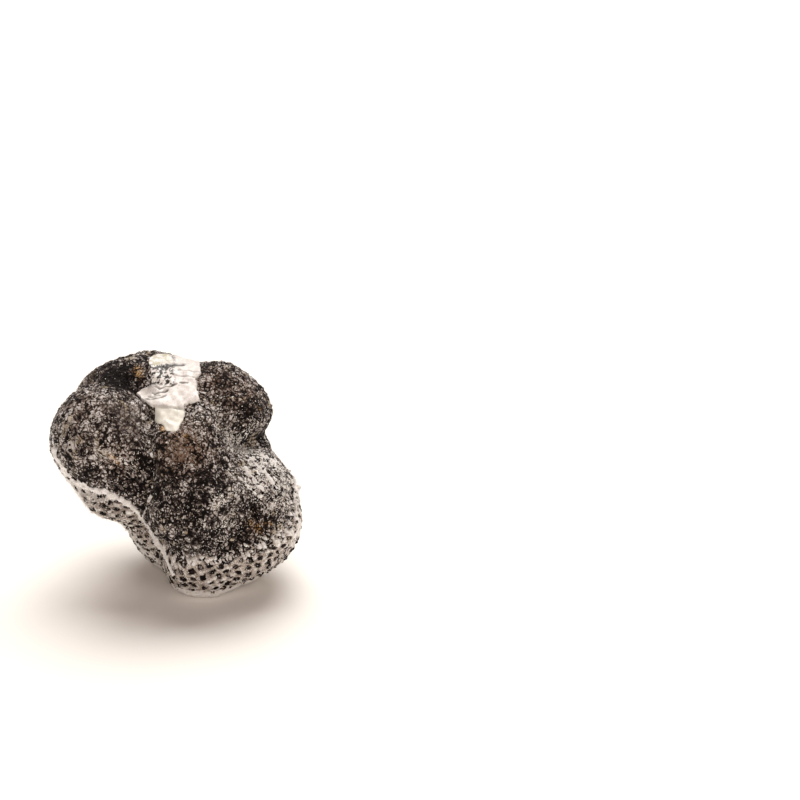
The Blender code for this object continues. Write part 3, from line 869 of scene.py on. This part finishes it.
def scatter(surface, weight, count, seed, sizes):
    """Corners and faces of seeded crystals: each at a grid point of the surface drawn by weight,
    shifted by about CRYSTAL_SHIFT, with a random turn and half width."""
    draw = np.random.default_rng(seed)
    chosen = draw.choice(len(surface), size=count, p=weight / weight.sum())
    shift = draw.normal(scale=CRYSTAL_SHIFT, size=(count, 3))
    turn = draw.normal(size=(count, 4))
    turn /= np.sqrt((turn ** 2).sum(axis=1))[:, None]
    w, x, y, z = turn.T
    turned = np.stack([
        1 - 2 * (y * y + z * z), 2 * (x * y - z * w), 2 * (x * z + y * w),
        2 * (x * y + z * w), 1 - 2 * (x * x + z * z), 2 * (y * z - x * w),
        2 * (x * z - y * w), 2 * (y * z + x * w), 1 - 2 * (x * x + y * y),
    ], axis=1).reshape(count, 3, 3)
    half = draw.uniform(*sizes, size=(count, 1, 1)) * draw.uniform(0.6, 1.4, size=(count, 6, 1))
    corners = np.einsum("nij,kj->nki", turned, CRYSTAL_CORNERS) * half
    corners += (surface[chosen] + shift)[:, None]
    faces = CRYSTAL_FACES[None] + 6 * np.arange(count)[:, None, None]
    return inside_box(corners.reshape(-1, 3)), faces.reshape(-1, 3).tolist()


crystal_material = new_material("frost_crystal")        # clear white with small glints
crystal_shader = node(crystal_material, "BsdfPrincipled", base_color=CRYSTAL_WHITE, roughness=0.3)
node(crystal_material, "OutputMaterial", crystal_shader[0])
top_surface = CORE + sphere * (skin + np.maximum(relief, frost_level))[:, None]
on_frost = np.clip(frost_cover - 0.45, 0.0, 1.0) * (frost_level > relief)
on_skin = (STRAY_SHARE + marks["dust"]) * (frost_level < relief) * open_skin
patchy = waves(plain_points, CRYSTAL_SEED, 12, PATCHY_LENGTH)
on_skin *= np.clip(0.5 + 0.6 * patchy, 0.05, 2.0)
for name, weight, count, seed, sizes in (
    ("frost_crystals", on_frost, CRUST_CRYSTALS, CRYSTAL_SEED, CRUST_SIZES),
    ("skin_crystals", on_skin, SKIN_CRYSTALS, CRYSTAL_SEED + 1, SKIN_SIZES),
):
    points, faces = scatter(top_surface, weight, count, seed, sizes)
    make_piece(name, points, faces, crystal_material)

# The ice plate: water that froze in the saddle between the upper lobes, white and opaque, laid
# down in thin sheets whose edges show as folds across it, darkened with painted shade. It is frozen to
# the skin all round.
PLATE_SPOKES = 260
PLATE_RINGS = 60
PLATE_RISE = 0.20 * MM        # how far its top stands above the skin around it
PLATE_GAP = 0.35 * MM         # and its underside above the bed
PLATE_ROOT = 0.25 * MM        # how far the rim is sunk in the skin
PLATE_BEVEL = 0.45 * MM       # width of the rounded rim
PLATE_RAGGED = 0.12 * MM      # how far the rim is frayed in and out
PLATE_FRAYS = ((41, 8, 0.4), (42, 10, 0.14))  # seed, count, and length on a circle of radius 1
PLATE_WAVES = ((45, 12, 1.4, 0.06), (47, 12, 4.0, 0.05))  # seed, count, length and height in mm
MAIN_SHEET = 0.26 * MM        # how much higher the main sheet lies than the patch below it
TOP_SINK = 0.12 * MM          # and than the creamy patch at its top
FOLD_DEPTH = 0.20 * MM
FOLD_WANDER = 0.3             # how far the folds wander, in half widths
FOLD_LENGTH = 1.8 * MM        # and the length of those waves
PLATE_FOLDS = (               # right and back over the plate in mm, half width in mm, and darkness of the fold's painted shade
    (((-3.0, 6.1), (-2.3, 6.7), (-1.5, 7.3), (-0.5, 7.9)), 0.40, 2.6),
    (((-3.9, 0.9), (-3.0, 0.3), (-2.0, 0.3), (-0.8, 1.1)), 0.19, 1.3),
    (((-5.0, -0.5), (-4.2, -1.0), (-3.2, -1.4), (-1.8, -1.2), (-0.5, -0.2)), 0.19, 1.2),
    (((-4.6, 0.3), (-3.9, -0.4), (-2.8, -0.6), (-1.6, -0.3)), 0.13, 0.8),
    (((-3.6, 2.1), (-2.4, 1.5), (-0.8, 2.0), (0.4, 2.6)), 0.15, 1.1),
    (((0.9, 3.2), (2.2, 3.3)), 0.17, 1.7),
    (((-0.6, 5.9), (1.5, 6.2), (3.4, 6.1)), 0.14, 0.8),
    (((-0.4, 4.6), (2.0, 4.9), (3.6, 4.7)), 0.14, 0.8),
    (((-1.4, -2.9), (0.8, -2.5), (3.7, -1.9)), 0.22, 0.6),
)
LOWER_PATCH = ((0.24, -1.0, -2.5, 0.35),)  # a, b, c and w of each edge, see patch
TOP_PATCH = ((-0.6, 1.0, -8.54, 0.3), (-1.0, -0.77, 4.1, 0.4))
MARBLED_PATCH = ((-1.0, -0.41, 1.6, 0.9), (0.0, 1.0, -1.9, 0.9))


def ice_plate_grid():
    """Distance share, side and angle of the plate's points, and its faces.

    One profile runs from the middle of the top to the rim and back under to the middle of the
    bottom, and it is carried round the spokes. The two poles are single points.
    """
    share = np.concatenate([np.arange(1, PLATE_RINGS + 1), np.arange(PLATE_RINGS - 1, 0, -1)])
    side = np.concatenate([np.ones(PLATE_RINGS), np.zeros(PLATE_RINGS - 1)])
    angle = np.linspace(-np.pi, np.pi, PLATE_SPOKES, endpoint=False)
    rows, spokes = len(share), PLATE_SPOKES
    shares = np.concatenate([np.repeat(share / PLATE_RINGS, spokes), (0.0, 0.0)])
    sides = np.concatenate([np.repeat(side, spokes), (1.0, 0.0)])
    angles = np.concatenate([np.tile(angle, rows), (0.0, 0.0)])
    row, column = np.meshgrid(np.arange(rows - 1), np.arange(spokes), indexing="ij")
    following = (column + 1) % spokes
    corner, beside = row * spokes + column, row * spokes + following
    sheet = np.stack([corner, corner + spokes, beside + spokes, beside], axis=-1).reshape(-1, 4)
    ring = np.arange(spokes)
    after = (ring + 1) % spokes
    top_pole, low_pole, last = rows * spokes, rows * spokes + 1, (rows - 1) * spokes
    top_fan = np.stack([np.full(spokes, top_pole), ring, after], axis=1)
    low_fan = np.stack([np.full(spokes, low_pole), last + after, last + ring], axis=1)
    return shares, sides, angles, sheet.tolist() + top_fan.tolist() + low_fan.tolist()


def patch(u, v, edges):
    """1 inside a patch and 0 outside it: the product over its edges of ease((a u + b v + c) / w)."""
    inside = np.ones(len(u))
    for a, b, c, w in edges:
        inside *= ease((a * u + b * v + c * MM) / (w * MM))
    return inside


shares, sides, angles, plate_faces = ice_plate_grid()
circle = np.stack([np.cos(angles), np.sin(angles), np.zeros(len(angles))], axis=1)
ragged = PLATE_RAGGED * sum(waves(circle, *fray) for fray in PLATE_FRAYS)
edge = plate_edge(np.degrees(angles))
spoke = shares * edge + ragged * shares ** 8
u = spoke * np.cos(angles) + PLATE_MIDDLE[0] * MM
v = spoke * np.sin(angles) + PLATE_MIDDLE[1] * MM
out, right, back = plate_axes()
rays = PLATE_ARM * MM * out + u[:, None] * right + v[:, None] * back
rays /= np.sqrt((rays ** 2).sum(axis=1))[:, None]
flat_uv = np.stack([u, v, np.zeros(len(u))], axis=1)
wander = FOLD_WANDER * waves(flat_uv, 44, 10, FOLD_LENGTH)
fold_line = np.zeros(len(u))
for places, width, darkness in PLATE_FOLDS:
    line = [np.array((*place, 0.0)) * MM for place in places]
    s = line_distance(flat_uv, line) / (width * MM) + wander
    fold_line = np.maximum(fold_line, darkness * np.exp(-s ** 2))
lower_patch = patch(u, v, LOWER_PATCH)
top_patch = patch(u, v, TOP_PATCH)
marbled = patch(u, v, MARBLED_PATCH) * (1.0 - top_patch)
level = PLATE_RISE + MAIN_SHEET * (1.0 - lower_patch) - TOP_SINK * top_patch
for seed, count, length, height in PLATE_WAVES:
    level += height * MM * waves(flat_uv, seed, count, length * MM)
# The top follows the skin plus the sheets' level, and the underside the bed plus the gap.
rim = ease((1.0 - shares) * edge / PLATE_BEVEL)
crown_height = (level - FOLD_DEPTH * np.minimum(fold_line, 1.0)) * rim
top_height = PLATE_BED * bed_depth(rays) + crown_height
low_height = PLATE_GAP * (1.0 - shares ** 4) * rim
plate_height = np.where(sides > 0.5, top_height, low_height) - PLATE_ROOT * shares ** 16
rays_skin = skin_reach(rays, reach(rays))
plate_points = inside_box(CORE + rays * (rays_skin + plate_height)[:, None])

ICE_WHITE = ((0.28, "CBC4BD"), (0.48, "E6E0DB"), (0.66, "F1EDE9"))
ICE_LOWER = "E6E3D8"
ICE_CREAM = "B8B397"
ICE_PIT_AND_FOLD_SHADE = "2A2420"           # the skin seen through the pits, and painted shade in the folds
ICE_BUMP = 0.12 * MM
PIT_BEND_SIZE = 0.8 * MM      # the slow noise that bends the pits' pattern
PIT_BEND_SHIFT = 0.6 * MM     # and how far it moves it
FOLD_SHARE = 0.62             # how much of a fold's painted shade shows, and the most that does
FOLD_MOST = 0.97
ice_marks = {"fold": fold_line, "lower": lower_patch, "cream": top_patch, "pits": marbled}
ice_material = new_material("white_ice")       # satin, with light that soaks in a little way
fold, lower, cream, pits = (
    node(ice_material, "Attribute", attribute_name=label)["Fac"] for label in ice_marks
)
place = node(ice_material, "TexCoord")["Object"]
bend = node(ice_material, "TexNoise", vector=place, scale=1.0 / PIT_BEND_SIZE, detail=1.0)["Color"]
bent = node(
    ice_material, "VectorMath", bend, (PIT_BEND_SHIFT,) * 3, place, operation="MULTIPLY_ADD",
)[0]
fine, creamy, pitted = (
    node(
        ice_material, "TexNoise", vector=way, scale=1.0 / (size * MM), detail=detail,
        roughness=roughness,
    )[0]
    for way, size, detail, roughness in (
        (place, 0.5, 4.0, 0.65), (place, 1.1, 3.0, 0.6), (bent, 0.75, 3.0, 0.6),
    )
)
creamy, pitted = (
    node(ice_material, "MapRange", value, low, high, 0.0, top, interpolation_type="SMOOTHSTEP")[0]
    for value, low, high, top in ((creamy, 0.42, 0.60, 0.95), (pitted, 0.45, 0.52, 1.0))
)
cream, pits, fold = (
    node(ice_material, "Math", value, share, operation="MULTIPLY")[0]
    for value, share in ((cream, creamy), (pits, pitted), (fold, FOLD_SHARE))
)
fold = node(ice_material, "Math", fold, FOLD_MOST, operation="MINIMUM")[0]
ice_colour = node(ice_material, "ValToRGB", fine, stops=ICE_WHITE)[0]
for share, colour in ((lower, ICE_LOWER), (cream, ICE_CREAM), (fold, ICE_PIT_AND_FOLD_SHADE), (pits, ICE_PIT_AND_FOLD_SHADE)):
    ice_colour = node(
        ice_material, "Mix", data_type="RGBA", factor=share, a=ice_colour, b=colour,
    )[2]
bump = node(ice_material, "Bump", strength=0.7, distance=ICE_BUMP, height=fine)[0]
ice_shader = node(
    ice_material, "BsdfPrincipled", base_color=ice_colour, roughness=0.35,
    subsurface_weight=0.2, subsurface_radius=(0.5 * MM, 0.5 * MM, 0.6 * MM), subsurface_scale=1.0,
    normal=bump,
)
node(ice_material, "OutputMaterial", ice_shader[0])
plate = make_piece("ice_sheets", plate_points, plate_faces, ice_material, ice_marks)
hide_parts("ice_plate")
